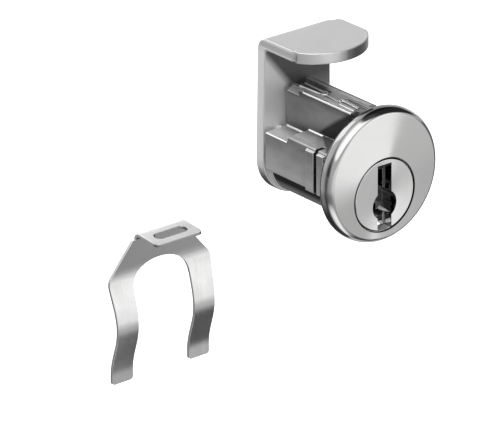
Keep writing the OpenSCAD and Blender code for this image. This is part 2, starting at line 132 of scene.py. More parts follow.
def bead(name, points, radius):
    """A round bead that follows a line of points, all in millimetres."""
    curve = bpy.data.curves.new(name, "CURVE")
    curve.dimensions = "3D"
    curve.bevel_depth = radius * MM
    curve.bevel_resolution = BEAD_RESOLUTION
    curve.use_fill_caps = True
    line = curve.splines.new("POLY")
    line.points.add(len(points) - 1)
    for point, place in zip(line.points, points):
        point.co = (*(v * MM for v in place), 1)
    piece = bpy.data.objects.new(name, curve)
    bpy.context.scene.collection.objects.link(piece)
    select_only(piece)
    bpy.ops.object.convert(target="MESH")
    piece = bpy.context.active_object
    smooth(piece, SMOOTH_BEAD)
    return piece


# ---------------------------------------------------------------- shader helpers

# Noise seldom leaves this span
NOISE_SPAN = (0.3, 0.7)


class Nodes:
    """Adds and links nodes in one node tree."""

    def __init__(self, tree):
        self.tree = tree

    def add(self, kind, **settings):
        node = self.tree.nodes.new(kind)
        for key, value in settings.items():
            setattr(node, key, value)
        return node

    def feed(self, socket, value):
        """Links a socket to another, or sets its value."""
        if isinstance(value, bpy.types.NodeSocket):
            self.tree.links.new(value, socket)
        else:
            socket.default_value = value

    def math(self, operation, a, b=0.0, clamp=False):
        node = self.add("ShaderNodeMath", operation=operation, use_clamp=clamp)
        self.feed(node.inputs[0], a)
        self.feed(node.inputs[1], b)
        return node.outputs[0]

    def plus(self, a, b, clamp=False):
        return self.math("ADD", a, b, clamp)

    def less(self, a, b, clamp=False):
        return self.math("SUBTRACT", a, b, clamp)

    def magnitude(self, value):
        return self.math("ABSOLUTE", value)

    def times(self, first, *others):
        """The product of several values."""
        for value in others:
            first = self.math("MULTIPLY", first, value)
        return first

    def most(self, first, *others):
        """The largest of several values."""
        for value in others:
            first = self.math("MAXIMUM", first, value)
        return first

    def split(self, vector):
        """A vector's X, Y and Z."""
        node = self.add("ShaderNodeSeparateXYZ")
        self.feed(node.inputs[0], vector)
        return tuple(node.outputs[:3])

    def joined(self, x, y=0.0, z=0.0):
        """A vector made of its X, Y and Z."""
        node = self.add("ShaderNodeCombineXYZ")
        for socket, value in zip(node.inputs, (x, y, z)):
            self.feed(socket, value)
        return node.outputs[0]

    def length(self, vector):
        node = self.add("ShaderNodeVectorMath", operation="LENGTH")
        self.feed(node.inputs[0], vector)
        return node.outputs["Value"]

    def scaled(self, vector, factor):
        node = self.add("ShaderNodeVectorMath", operation="MULTIPLY")
        self.feed(node.inputs[0], vector)
        node.inputs[1].default_value = factor
        return node.outputs[0]

    def noise(self, vector, scale, detail=2.0, rough=0.5, distortion=0.0):
        node = self.add("ShaderNodeTexNoise")
        self.feed(node.inputs["Vector"], vector)
        self.feed(node.inputs["Scale"], scale)
        node.inputs["Detail"].default_value = detail
        node.inputs["Roughness"].default_value = rough
        node.inputs["Distortion"].default_value = distortion
        return node.outputs["Fac"]

    def ranged(self, value, low, high, to_low, to_high):
        """A value mapped from one range to another, and held at its ends."""
        node = self.add("ShaderNodeMapRange")
        self.feed(node.inputs["Value"], value)
        ends = ("From Min", "From Max", "To Min", "To Max")
        for name, number in zip(ends, (low, high, to_low, to_high)):
            self.feed(node.inputs[name], number)
        return node.outputs["Result"]

    def rise(self, value, start, end, top=1.0):
        """0 up to start and top from end on; start may be the larger of the two."""
        return self.ranged(value, start, end, 0.0, top)

    def near(self, value, middle, half, soft, top=1.0):
        """Top within half of the middle, and 0 past a soft border."""
        return self.rise(self.magnitude(self.less(value, middle)), half + soft, half, top)

    def mixed(self, factor, a, b, kind="MIX"):
        node = self.add("ShaderNodeMix", data_type="RGBA", blend_type=kind)
        self.feed(node.inputs[0], factor)
        self.feed(node.inputs[6], a)
        self.feed(node.inputs[7], b)
        return node.outputs[2]


def effect(name, inputs, outputs):
    """A shader node group with named float or vector inputs and named outputs."""
    group = bpy.data.node_groups.new(name, "ShaderNodeTree")
    for label, value in inputs:
        kind = "NodeSocketVector" if value is None else "NodeSocketFloat"
        socket = group.interface.new_socket(name=label, in_out="INPUT", socket_type=kind)
        if value is not None:
            socket.default_value = value
    for label in outputs:
        group.interface.new_socket(name=label, in_out="OUTPUT", socket_type="NodeSocketFloat")
    nodes = Nodes(group)
    return group, nodes, nodes.add("NodeGroupInput").outputs, nodes.add("NodeGroupOutput").inputs


def build_turned_grain():
    """Fine rings left by a turning tool, about the Y axis of the given vector."""
    change_per_turn, bands_per_metre = 1.2, 900.0
    group, n, given, out = effect(
        "turned grain", [("Vector", None), ("Rings per metre", 9000.0)], ["Rings", "Bands"])
    flat = n.scaled(given["Vector"], (1.0, 0.0, 1.0))
    radius = n.length(flat)
    across, _, high = n.split(flat)
    angle = n.math("ARCTAN2", across, high)
    ring = n.joined(n.times(radius, given["Rings per metre"]),
                    n.times(n.math("SINE", angle), change_per_turn),
                    n.times(n.math("COSINE", angle), change_per_turn))
    n.feed(out["Rings"], n.noise(ring, 1.0, detail=3.0, rough=0.6))
    n.feed(out["Bands"], n.noise(n.joined(n.times(radius, bands_per_metre)), 1.0))
    return group


def build_straight_grain():
    """Fine parallel lines along the X axis of the given vector, as rolling and brushing leave."""
    streak_scale = 0.14
    group, n, given, out = effect(
        "straight grain", [("Vector", None), ("Lines per metre", 9000.0), ("Stretch", 0.03)],
        ["Lines", "Streaks"])
    per_metre = given["Lines per metre"]
    along, across, high = n.split(given["Vector"])
    line = n.joined(n.times(along, n.times(given["Stretch"], per_metre)),
                    n.times(across, per_metre), n.times(high, per_metre))
    n.feed(out["Lines"], n.noise(line, 1.0, detail=3.0, rough=0.6))
    n.feed(out["Streaks"], n.noise(line, streak_scale))
    return group


def build_cast_skin():
    """The fine dimpled skin of a die casting, with faint flow marks."""
    fine_share, coarse_share, coarse_scale = 0.7, 0.3, 0.22
    flow_scale, flow_stretch = 0.09, (1.0, 0.35, 1.0)
    group, n, given, out = effect(
        "cast skin", [("Vector", None), ("Size", 0.0004)], ["Dimples", "Flow"])
    per_metre = n.math("DIVIDE", 1.0, given["Size"])
    fine = n.noise(given["Vector"], per_metre, detail=4.0, rough=0.65)
    coarse = n.noise(given["Vector"], n.times(per_metre, coarse_scale), distortion=0.6)
    n.feed(out["Dimples"], n.plus(n.times(fine, fine_share), n.times(coarse, coarse_share)))
    n.feed(out["Flow"], n.noise(n.scaled(given["Vector"], flow_stretch),
                                n.times(per_metre, flow_scale),
                                detail=3.0, rough=0.55, distortion=1.2))
    return group


def build_edges_and_hollows():
    """Masks of the rounded edges, which handling polishes and which also carry painted highlight,
    and of the hollows, which get painted shade as well as grime.
    """
    least_wear_and_highlight, open_share, hollow_share = 0.5, 0.92, 0.45
    group, n, given, out = effect(
        "edges and hollows",
        [("Vector", None), ("Amount", 0.6), ("Breakup", 1500.0), ("Reach", 0.0006)],
        ["Wear", "Grime and shade"])
    mark = n.add("ShaderNodeAttribute", attribute_name=EDGE_MARK).outputs["Fac"]
    patches = n.noise(given["Vector"], given["Breakup"], detail=3.0, rough=0.6)
    broken = n.ranged(patches, *NOISE_SPAN, least_wear_and_highlight, 1.0)
    # Edge wear, which also stands as painted highlight on the rounded edges
    n.feed(out["Wear"], n.math("MULTIPLY", n.times(mark, broken), given["Amount"], clamp=True))
    # Painted shade in the hollows from an ambient occlusion mask, which also stands for grime
    hollow = n.add("ShaderNodeAmbientOcclusion", samples=6, only_local=True)
    n.feed(hollow.inputs["Distance"], given["Reach"])
    n.feed(out["Grime and shade"], n.rise(hollow.outputs["AO"], open_share, hollow_share))
    return group


def build_handling():
    """Soft blotches of touch and storage, and a few tiny dents."""
    dents_per_blotch, dent_radius = 2.6, 0.09
    group, n, given, out = effect(
        "handling", [("Vector", None), ("Scale", 220.0)], ["Blotches", "Dents"])
    n.feed(out["Blotches"], n.noise(given["Vector"], given["Scale"],
                                    detail=4.0, rough=0.55, distortion=0.4))
    cells = n.add("ShaderNodeTexVoronoi", feature="F1")
    n.feed(cells.inputs["Vector"], given["Vector"])
    n.feed(cells.inputs["Scale"], n.times(given["Scale"], dents_per_blotch))
    n.feed(out["Dents"], n.rise(cells.outputs["Distance"], dent_radius, 0.0))
    return group


GRAIN_TURNED = build_turned_grain()
GRAIN_STRAIGHT = build_straight_grain()
CAST_SKIN = build_cast_skin()
# Edge wear with painted highlight, and grime with painted shade in the hollows
EDGES_AND_HOLLOWS = build_edges_and_hollows()
HANDLING = build_handling()

# A shaded point's object coordinates and, of its normal there, the size along X, the Z and the Y
Spot = namedtuple("Spot", "x y z side up ahead")


class Finish(Nodes):
    """One material: a Principled shader fed by the shared effects."""

    def __init__(self, name, metallic=1.0):
        self.material = bpy.data.materials.new(name)
        self.material.use_nodes = True
        super().__init__(self.material.node_tree)
        self.shader = self.tree.nodes["Principled BSDF"]
        self.shader.inputs["Metallic"].default_value = metallic
        self.place = self.add("ShaderNodeTexCoord").outputs["Object"]

    def turned_to(self, rotation=(0, 0, 0), location=(0, 0, 0)):
        """Object coordinates, turned or centred for a pattern."""
        mapping = self.add("ShaderNodeMapping")
        self.feed(mapping.inputs["Vector"], self.place)
        mapping.inputs["Rotation"].default_value = rotation
        mapping.inputs["Location"].default_value = location
        return mapping.outputs["Vector"]

    def use(self, group, vector, **values):
        """Places a shared effect and sets its inputs, given by name."""
        node = self.add("ShaderNodeGroup")
        node.node_tree = group
        self.feed(node.inputs["Vector"], vector)
        for key, value in values.items():
            node.inputs[key.replace("_", " ").capitalize()].default_value = value
        return node.outputs

    def spot(self):
        """Where the shaded point is and which way it faces."""
        normal_x, normal_y, normal_z = self.split(
            self.add("ShaderNodeTexCoord").outputs["Normal"])
        return Spot(*self.split(self.place), self.magnitude(normal_x), normal_z, normal_y)

    def radius(self, centre_z):
        """Distance from the line parallel to the plug's axis at the given height."""
        across, _, high = self.split(self.turned_to(location=(0, 0, -centre_z)))
        return self.math("SQRT", self.plus(self.times(across, across), self.times(high, high)))

    def paint(self, value):
        self.feed(self.shader.inputs["Base Color"], value)

    def colour(self, plain, dark, light, shade, wear_and_highlight):
        """A plain colour or level, shaded by a mask and brightened on the rounded edges, where
        handling polishes them and highlight is painted.
        """
        plain = plain if isinstance(plain, bpy.types.NodeSocket) else (*plain, 1)
        self.paint(self.mixed(wear_and_highlight, self.mixed(shade, plain, (*dark, 1)), (*light, 1)))

    def rough(self, value):
        self.feed(self.shader.inputs["Roughness"], value)

    def grained(self, pattern, low, high):
        """A level between two that follows a pattern."""
        return self.ranged(pattern, *NOISE_SPAN, low, high)

    def bump(self, heights, distance, strength, under=None):
        """Relief from several (height, weight) pairs, over one distance in metres."""
        total = None
        for height, weight in heights:
            part = self.times(height, weight)
            total = part if total is None else self.plus(total, part)
        node = self.add("ShaderNodeBump")
        node.inputs["Distance"].default_value = distance
        node.inputs["Strength"].default_value = strength
        self.feed(node.inputs["Height"], total)
        if under is not None:
            self.feed(node.inputs["Normal"], under)
        self.feed(self.shader.inputs["Normal"], node.outputs["Normal"])

    def crowned(self, centre_z, slope, reach):
        """Normal of a faintly crowned face: a cone about Y, sloped in degrees, out to reach."""
        node = self.add("ShaderNodeBump")
        node.inputs["Distance"].default_value = 1.0
        cone = self.math("MINIMUM", self.radius(centre_z), reach)
        self.feed(node.inputs["Height"], self.times(cone, -math.tan(math.radians(slope))))
        return node.outputs["Normal"]


def grey(value, warm=0.0):
    """A near neutral metal colour, slightly warm where asked."""
    return (value * (1 + warm), value, value * (1 - warm))


# ---------------------------------------------------------------- finishes
# A pair of places, such as hook_z, says where a mask starts and where it is full.

def satin_nickel_turned(name, centre_z, slope, reach, seam, rings, dull=0.0, hollow=2 * MM):
    """Satin nickel on a turned face: rings about the given height, on a faint crown or dish.

    The seam round the plug and the crease behind the cap's lip are painted shade, the cap's outer
    wall is a painted dark reflection, and dull sets how much shade is painted into the hollows."""
    level, worn_and_highlit_level, painted_dark_level = 0.80, 0.93, 0.04
    wall_r = (FLANGE_R - 0.20 * MM, FLANGE_R - 0.08 * MM)
    wall_x = (-4 * MM, 0.0)
    fold_r = (FLANGE_R - 0.3 * MM, FLANGE_R - 0.2 * MM)
    fold_y, line_half, line_soft = -0.38 * MM, 0.13 * MM, 0.06 * MM
    f = Finish(name)
    grain = f.use(GRAIN_TURNED, f.turned_to(location=(0, 0, -centre_z)), rings_per_metre=rings)
    touch = f.use(HANDLING, f.place, scale=160.0)
    edges_and_hollows = f.use(EDGES_AND_HOLLOWS, f.place, amount=0.5, reach=hollow)
    # Handling blotches, and painted shade in the hollows, as strong as dull asks
    shade = f.plus(f.rise(touch["Blotches"], 0.35, 0.75, top=0.12),
                   f.times(edges_and_hollows["Grime and shade"], dull), clamp=True)
    at, from_centre = f.spot(), f.radius(FLANGE_Z)
    # Painted dark reflection on the cap's outer wall, painted shade behind its lip and in the seam
    # round the plug
    wall = f.times(f.rise(from_centre, *wall_r), f.ranged(at.x, *wall_x, 0.6, 0.92))
    dark_line = f.times(f.near(at.y, fold_y, line_half, line_soft, top=0.95),
                   f.rise(from_centre, *fold_r))
    painted_dark = f.plus(f.rise(f.radius(0.0), *seam), f.most(wall, dark_line), clamp=True)
    metal = f.mixed(shade, (*grey(level, 0.004), 1), (*grey(level * (0.80 - 0.68 * dull)), 1))
    metal = f.mixed(f.times(edges_and_hollows["Wear"], f.less(1.0, painted_dark)), metal, (*grey(worn_and_highlit_level), 1))
    f.paint(f.mixed(painted_dark, metal, (*grey(painted_dark_level), 1)))
    f.rough(f.plus(f.grained(grain["Rings"], 0.08, 0.12),
                   f.rise(touch["Blotches"], 0.4, 0.8, top=0.05)))
    f.bump([(grain["Rings"], 1.0), (grain["Bands"], 1.5), (touch["Dents"], -0.8)],
           distance=0.000004, strength=0.5, under=f.crowned(centre_z, slope, reach))
    return f.material


def satin_nickel_plate(name, rotation):
    """Satin nickel on a coined plate: frost-finished faces and sides painted lighter, a brighter
    sheared edge round the hook, with painted shade and a painted dark reflection.
    """
    level, frosted_and_lit_level, worn_and_highlit_level = 0.78, 0.98, 0.95
    hook_z, foot_z = (20.2 * MM, 20.6 * MM), (1 * MM, -1 * MM)
    lit_edge_x, rim_x = (-0.5 * MM, -2.5 * MM), (-6.45 * MM, -6.7 * MM)
    slant, shade_line, shade_z = 1.2, (10.4 * MM, 12.6 * MM), (10.5 * MM, 14 * MM)
    dark_reflection_left_x, dark_reflection_right_x = (-1.2 * MM, 0.9 * MM), (6.2 * MM, 2.5 * MM)
    side_z, side_half, side_soft = 21.65 * MM, 0.35 * MM, 0.30 * MM
    f = Finish(name)
    grain = f.use(GRAIN_STRAIGHT, f.turned_to(rotation=rotation), lines_per_metre=6000.0,
                  stretch=0.05)
    skin = f.use(CAST_SKIN, f.place, size=0.0005)
    touch = f.use(HANDLING, f.place, scale=130.0)
    edges_and_hollows = f.use(EDGES_AND_HOLLOWS, f.place, amount=0.8)
    at = f.spot()
    upright = f.magnitude(at.up)
    hook = f.rise(at.z, *hook_z)
    below_hook = f.less(1.0, hook)
    side_faces = f.rise(at.side, 0.8, 0.95)
    sheared = f.times(hook, f.rise(upright, 0.7, 0.3))
    front_edge = f.times(sheared, f.rise(at.ahead, -0.3, -0.5))
    # The plate's faces and sides have a frost finish and are painted lighter, and the left of the
    # hook's front edge is as pale, a painted reflection
    faces = f.times(f.rise(at.side, 0.4, 0.2), f.rise(upright, 0.4, 0.2), below_hook)
    frosted_and_lit = f.most(faces, f.times(side_faces, below_hook),
                     f.times(front_edge, f.rise(at.x, *lit_edge_x)))
    tone = f.ranged(frosted_and_lit, 0.0, 1.0, level, frosted_and_lit_level)
    # Shade hangs under the hook, to the right of a slanted line
    under = f.times(f.rise(f.plus(at.z, f.times(at.x, slant)), *shade_line),
                    f.ranged(at.z, *shade_z, 0.7, 0.95), faces, f.rise(at.ahead, -0.4, -0.8))
    # A painted dark reflection darkens the middle of the hook's front edge; the hook's sides are
    # darker in a band at mid height, and its left rim is darker on top
    middle = f.times(f.rise(at.x, *dark_reflection_left_x, top=0.95), f.rise(at.x, *dark_reflection_right_x), front_edge)
    sides = f.times(f.near(at.z, side_z, side_half, side_soft, top=0.4), side_faces)
    rim = f.times(f.rise(at.x, *rim_x, top=0.45), f.rise(at.up, 0.96, 0.99), hook)
    # Painted shade on the plate's lower end where it looks down
    foot = f.times(f.rise(at.up, -0.15, -0.5, top=0.9), f.rise(at.z, *foot_z))
    shade = f.most(f.rise(touch["Blotches"], 0.4, 0.9, top=0.06), under, middle, sides, rim, foot)
    wear_and_highlight = f.times(edges_and_hollows["Wear"], f.less(1.0, f.times(hook, 0.8)))
    f.colour(tone, grey(level * 0.2), grey(worn_and_highlit_level), shade, f.less(wear_and_highlight, foot, clamp=True))
    f.rough(f.less(f.less(f.grained(grain["Lines"], 0.60, 0.68), f.times(sheared, 0.30)),
                   f.times(wear_and_highlight, 0.25)))
    f.bump([(skin["Dimples"], 0.7), (grain["Lines"], 0.5), (touch["Dents"], -1.0)],
           distance=0.000006, strength=0.5)
    return f.material


def zinc_casting(name):
    """Bare zinc die casting: a dimpled skin, painted lighter or darker by height and facing, with
    painted shade and grime in its hollows and painted shadows of its parts, bright on its edges.
    """
    level, lit_top_level, worn_and_highlit_level = 0.50, 0.50 * 1.75, 0.93
    low_z, high_z = (0.5 * MM, 6 * MM), (12.0 * MM, 13.2 * MM)
    corner_slant, corner_line, corner_z = 0.65, (12.9 * MM, 12.0 * MM), (7.2 * MM, 7.6 * MM)
    tube_z, ear_foot_z = (-3.6 * MM, -2.4 * MM), (-0.42 * MM, -0.62 * MM)
    cut_x, cut_y, cut_z = (-1.3 * MM, -1.5 * MM), (16.2 * MM, 16.3 * MM), (12.2 * MM, 12.6 * MM)
    ear_slant, ear_line = 1.5, (14.9 * MM, 13.9 * MM)
    ear_low_z, ear_high_z = (7.0 * MM, 7.1 * MM), (7.5 * MM, 7.4 * MM)
    f = Finish(name)
    skin = f.use(CAST_SKIN, f.place, size=0.00035)
    touch = f.use(HANDLING, f.place, scale=260.0)
    edges_and_hollows = f.use(EDGES_AND_HOLLOWS, f.place, amount=1.0, reach=0.003)
    at = f.spot()
    # Painted light and shade: the side faces grow darker with height, and what looks up is painted
    # lightest
    by_height = f.times(f.ranged(at.z, *low_z, 1.35, 0.72), f.ranged(at.z, *high_z, 1.0, 0.5))
    tone = f.plus(1.0, f.times(f.less(by_height, 1.0), f.rise(at.side, 0.9, 0.98)))
    tone = f.times(tone, f.ranged(at.up, 0.75, 0.95, level, lit_top_level))
    # Painted shadow of the flange, nearly black, in the corner between the block and the flange
    from_corner = f.plus(f.radius(FLANGE_Z), f.times(at.y, corner_slant))
    corner = f.times(f.rise(from_corner, *corner_line, top=0.96), f.rise(at.z, *corner_z))
    # Below the ears the tube lies deep in their shade
    below = f.times(f.rise(at.z, *tube_z, top=0.97), f.rise(at.z, *ear_foot_z),
                    f.rise(at.side, 0.2, 0.5))
    # Painted shade on the block's cut corner at the rear
    cut = f.times(f.rise(at.z, *cut_z, top=0.6), f.rise(at.y, *cut_y), f.rise(at.x, *cut_x),
                  f.rise(at.up, 0.6, 0.3))
    # The ears' tops are dark in the flange's shade
    from_flange = f.plus(at.y, f.times(f.magnitude(at.x), ear_slant))
    ears = f.times(f.rise(from_flange, *ear_line, top=0.75), f.rise(at.z, *ear_low_z),
                   f.rise(at.z, *ear_high_z), f.rise(at.up, 0.6, 0.9))
    # All the painted shade and shadow, which also holds back the edge brightening
    painted_shade = f.most(corner, below, cut, ears)
    # Flow marks, and painted shade with grime in the hollows from the occlusion mask
    dull = f.plus(f.rise(skin["Flow"], 0.35, 0.8, top=0.3), f.times(edges_and_hollows["Grime and shade"], 0.8),
                  clamp=True)
    f.colour(tone, grey(level * 0.06), grey(worn_and_highlit_level), f.most(dull, painted_shade),
             f.less(edges_and_hollows["Wear"], painted_shade, clamp=True))
    f.rough(f.less(f.grained(skin["Dimples"], 0.52, 0.62), f.times(edges_and_hollows["Wear"], 0.25)))
    f.bump([(skin["Dimples"], 1.0), (skin["Flow"], 0.6), (touch["Dents"], -1.0)],
           distance=0.000012, strength=0.6)
    return f.material


def rolled_steel(name, level, rotation=(0, 0, 0), rough=(0.24, 0.36), lines=8000.0, dark=0.7,
                 web=None, dark_line=None, relief=True):
    """Rolled spring or strip steel: a fine grain along the strip.

    A web between two heights gets a painted dark reflection, as do the side walls then, and a line
    at one width is darker."""
    worn_and_highlit_level = 0.92
    line_half, line_soft = 0.15 * MM, 0.13 * MM
    f = Finish(name)
    grain = f.use(GRAIN_STRAIGHT, f.turned_to(rotation=rotation), lines_per_metre=lines,
                  stretch=0.02)
    touch = f.use(HANDLING, f.place, scale=200.0)
    edges_and_hollows = f.use(EDGES_AND_HOLLOWS, f.place, amount=0.7)
    shade = f.rise(f.plus(touch["Blotches"], f.times(grain["Streaks"], 0.5)), 0.5, 1.1, top=0.3)
    if web:
        # Painted dark reflection on the web and on the side walls
        at = f.spot()
        painted_web_reflection = f.times(f.rise(at.z, *web, top=0.85), f.rise(at.up, 0.8, 0.5))
        shade = f.most(shade, painted_web_reflection, f.rise(at.side, 0.5, 0.8, top=0.9))
    if dark_line:
        # Darker along a line at one width
        shade = f.most(shade, f.near(f.spot().x, dark_line, line_half, line_soft))
    f.colour(grey(level, 0.004), grey(level * dark), grey(worn_and_highlit_level), shade, edges_and_hollows["Wear"])
    f.rough(f.grained(grain["Lines"], *rough))
    if relief:
        f.bump([(grain["Lines"], 1.0), (touch["Dents"], -0.7)], distance=0.000003, strength=0.4)
    return f.material


def plated_steel(name):
    """Zinc plated steel hardware: bright, with a cloudy passivated film and painted shade with
    grime in its hollows.
    """
    level, worn_and_highlit_level = 0.62, 0.9
    f = Finish(name)
    grain = f.use(GRAIN_TURNED, f.place, rings_per_metre=9000.0)
    touch = f.use(HANDLING, f.place, scale=420.0)
    edges_and_hollows = f.use(EDGES_AND_HOLLOWS, f.place, amount=0.8)
    # Cloudy film from the blotches, and painted shade in the hollows from the occlusion mask
    shade = f.rise(f.plus(touch["Blotches"], f.times(edges_and_hollows["Grime and shade"], 0.4)), 0.4, 1.0, top=0.5)
    f.colour(grey(level, -0.01), grey(level * 0.66), grey(worn_and_highlit_level), shade, edges_and_hollows["Wear"])
    f.rough(f.grained(grain["Rings"], 0.22, 0.38))
    f.bump([(grain["Rings"], 1.0), (touch["Dents"], -1.0)], distance=0.000006, strength=0.5)
    return f.material


def turned_brass(name):
    """Turned brass pins with fine tool rings and a dull film."""
    brass, film, worn_and_highlit_brass = (0.80, 0.62, 0.30), (0.52, 0.38, 0.16), (0.92, 0.78, 0.48)
    f = Finish(name)
    rings = f.use(CAST_SKIN, f.scaled(f.place, (0.2, 0.2, 3.0)), size=0.0004)["Dimples"]
    touch = f.use(HANDLING, f.place, scale=600.0)
    edges_and_hollows = f.use(EDGES_AND_HOLLOWS, f.place, amount=0.6)
    f.colour(brass, film, worn_and_highlit_brass, f.rise(touch["Blotches"], 0.35, 0.8, top=0.6), edges_and_hollows["Wear"])
    f.rough(f.grained(rings, 0.2, 0.36))
    f.bump([(rings, 1.0)], distance=0.000006, strength=0.5)
    return f.material


FACE = satin_nickel_turned("satin nickel, turned face", FLANGE_Z, slope=6.0,
                           reach=FLANGE_R - 1.1 * MM, seam=(6.66 * MM, 6.56 * MM), rings=7000.0)
# The plug's dull setting paints deep shade into its keyway
PLUG = satin_nickel_turned("satin nickel, plug", 0.0, slope=-3.0, reach=6.3 * MM,
                           seam=(6.22 * MM, 6.30 * MM), rings=9000.0, dull=0.87, hollow=6 * MM)
CAM = satin_nickel_plate("satin nickel, cam", (0, QUARTER, 0))
CASTING = zinc_casting("zinc casting")
STRIP = rolled_steel("pressed strip", 0.30, (0, 0, QUARTER), rough=(0.3, 0.4), dark=0.15,
                     dark_line=1.65 * MM)
CLIP = rolled_steel("spring steel", 0.88, (0, QUARTER, 0), rough=(0.17, 0.25), dark=0.4,
                    web=(CLIP_TOP - 7.8 * MM, CLIP_TOP - 6.4 * MM))
# Bright polish for the beads, which also stands as painted highlight on the casting and strip
RAIL = rolled_steel("polished crimp and painted highlight", 0.94, (0, 0, QUARTER), rough=(0.2, 0.26), lines=2000.0,
                    relief=False)
HARDWARE = plated_steel("plated steel")
BRASS = turned_brass("turned brass")
WIRE = rolled_steel("spring wire", 0.6, lines=20000.0)


# ---------------------------------------------------------------- pieces

# CAD node, new name, edge radius in millimetres, segments, body, slot and finish
EDGED_PIECES = (
    ("housing", "cast_housing", 0.10, 3, "housing", "die_cast_body", CASTING),
    ("face_cap", "dress_cap", 0.05, 2, "housing", "satin_face", FACE),
    ("plug", "keyed_plug", 0.06, 2, "plug", "satin_plug", PLUG),
    ("cam", "hook_cam", 0.20, 4, "plug", "satin_cam", CAM),
    ("pin_cover", "chamber_cover", 0.07, 3, "housing", "bright_strip", STRIP),
    ("stop_washer", "turn_stop_washer", 0.08, 3, "plug", "steel_parts", HARDWARE),
    ("lock_washer", "split_washer", 0.08, 3, "plug", "steel_parts", HARDWARE),
    ("cam_screw", "pan_head_screw", 0.06, 3, "plug", "steel_parts", HARDWARE),
    ("retaining_clip", "horseshoe_clip", 0.05, 3, "clip", "spring_steel", CLIP))

# Beads on top of the block, as radius and points in millimetres: the block's crimped lips, the
# raised rims of the strip's two slots and the ridge between them
# The beads' bright polish is partly painted highlight on the casting and strip
BLOCK_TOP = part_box("pin_cover")[1].z / MM
LEFT_LIP_Z, RIGHT_LIP_Z = BLOCK_TOP - 0.25, BLOCK_TOP - 0.17
RIM_Z = BLOCK_TOP - 0.03
RIDGE_Z = RIM_Z + 0.08
BLOCK_BEADS = {
    "left_lip": (0.28, [(-2.57, 2.5, LEFT_LIP_Z), (-2.57, 15.0, LEFT_LIP_Z)]),
    "right_lip": (0.28, [(2.40, 2.5, RIGHT_LIP_Z), (2.40, 18.9, RIGHT_LIP_Z)]),
    "rear_slot_rim": (0.27, [(x, y, RIM_Z) for x, y in (
        (-1.42, 17.3), (-1.34, 14.2), (-1.28, 12.3), (-1.12, 11.6), (-0.78, 11.25),
        (-0.42, 11.45), (-0.3, 12.1), (-0.2, 15.4), (-0.1, 17.6))]),
    "front_slot_rim": (0.27, [(x, y, RIM_Z) for x, y in (
        (-1.88, 2.6), (-1.70, 6.4), (-1.55, 7.1), (-1.1, 7.5), (-0.6, 7.6), (-0.34, 7.4),
        (-0.61, 3.0))]),
    "middle_ridge": (0.12, [(-0.9, 11.1, RIDGE_Z), (-1.3, 7.5, RIDGE_Z)])}

# The ears' bright fillets and rear edge are partly painted highlight on the casting
# Straight beads on both ears: radius, distance from the middle, height, and the two ends' depths
EAR_BEADS = {
    "front_fillet": (0.34, 2.84, 7.3, (9.5, 13.2)),
    "rear_fillet": (0.34, 2.84, 6.32, (13.7, 19.0)),
    "rear_edge": (0.15, 7.37, 6.13, (13.6, 19.1))}


def put(piece, body, slot, material, *nodes):
    """Gives a finished piece its material and body and hides the CAD nodes that it stands for; the
    slot is not used.
    """
    piece.data.materials.clear()
    piece.data.materials.append(material)
    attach(piece, body)
    if nodes:
        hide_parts(*nodes)
    return piece


def build_edged_pieces():
    """The nine larger pieces, each a copy of its CAD mesh with rounded edges."""
    for node, name, edge, segments, body, slot, finish in EDGED_PIECES:
        put(soften(merged_copy(node, name), edge * MM, segments), body, slot, finish, node)


def build_beads():
    """Small cast and pressed detail that isn't in the CAD."""
    beads = dict(BLOCK_BEADS)
    for hand, sign in (("left", -1), ("right", 1)):
        for part, (radius, x, z, ends) in EAR_BEADS.items():
            beads[f"{hand}_{part}"] = (radius, [(sign * x, y, z) for y in ends])
    for name, (radius, points) in beads.items():
        put(bead(name, points, radius), "housing", "bright_strip", RAIL)


def build_pins():
    """The pins as the CAD has them, and coils copied from the CAD's springs."""
    pins = [f"{kind}_{i}" for i in PINS for kind in ("bottom_pin", "driver_pin")]
    for node, finish in [("stop_pins", HARDWARE)] + [(pin, BRASS) for pin in pins]:
        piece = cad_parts[node]
        piece.data.materials.clear()
        piece.data.materials.append(finish)
        smooth(piece, SMOOTH_ROUND)
    for i in PINS:
        node = f"pin_spring_{i}"
        coil = put(merged_copy(node, f"coil_{i}"), "housing", "pin_spring_wire", WIRE, node)
        smooth(coil, SMOOTH_ROUND)
        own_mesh(coil)


# ---------------------------------------------------------------- floor, light and camera

FLOOR_Z = -0.12
FLOOR_SIZE = 12.0

# The floor's glow close to the lock and further out, as levels by bearing in degrees from the
# front towards the right, and the distances in metres over which the near one gives way
NEAR_GLOW = ((-180, 0.04), (-140, 0.04), (-112, 0.12), (-90, 0.7), (-60, 1.0), (-20, 1.0),
             (0, 0.6), (28, 0.06), (60, 0.06), (85, 0.5), (125, 0.5), (152, 0.5), (165, 0.04))
FAR_GLOW = ((-180, 0.08), (-165, 0.12), (-152, 0.75), (-141, 0.9), (-129, 0.6), (-118, 0.2),
            (-105, 0.19), (-73, 0.31), (-31, 0.52), (-22, 0.72), (8, 0.74), (17, 0.50),
            (25, 0.97), (41, 0.97), (42.4, 0.53), (54, 0.54), (61, 0.10), (98, 0.10),
            (118, 0.40), (140, 0.55), (160, 0.30))
NEAR_ENDS = (0.11, 0.17)

# Up to these distances the far glow is dimmed to a share of itself, but only as far round as
# these shares of a turn from the back, over the left and the front
DIM_SHARE, DIM_DISTANCES, DIM_BEARINGS = 0.48, (0.24, 0.33), (0.600, 0.612)


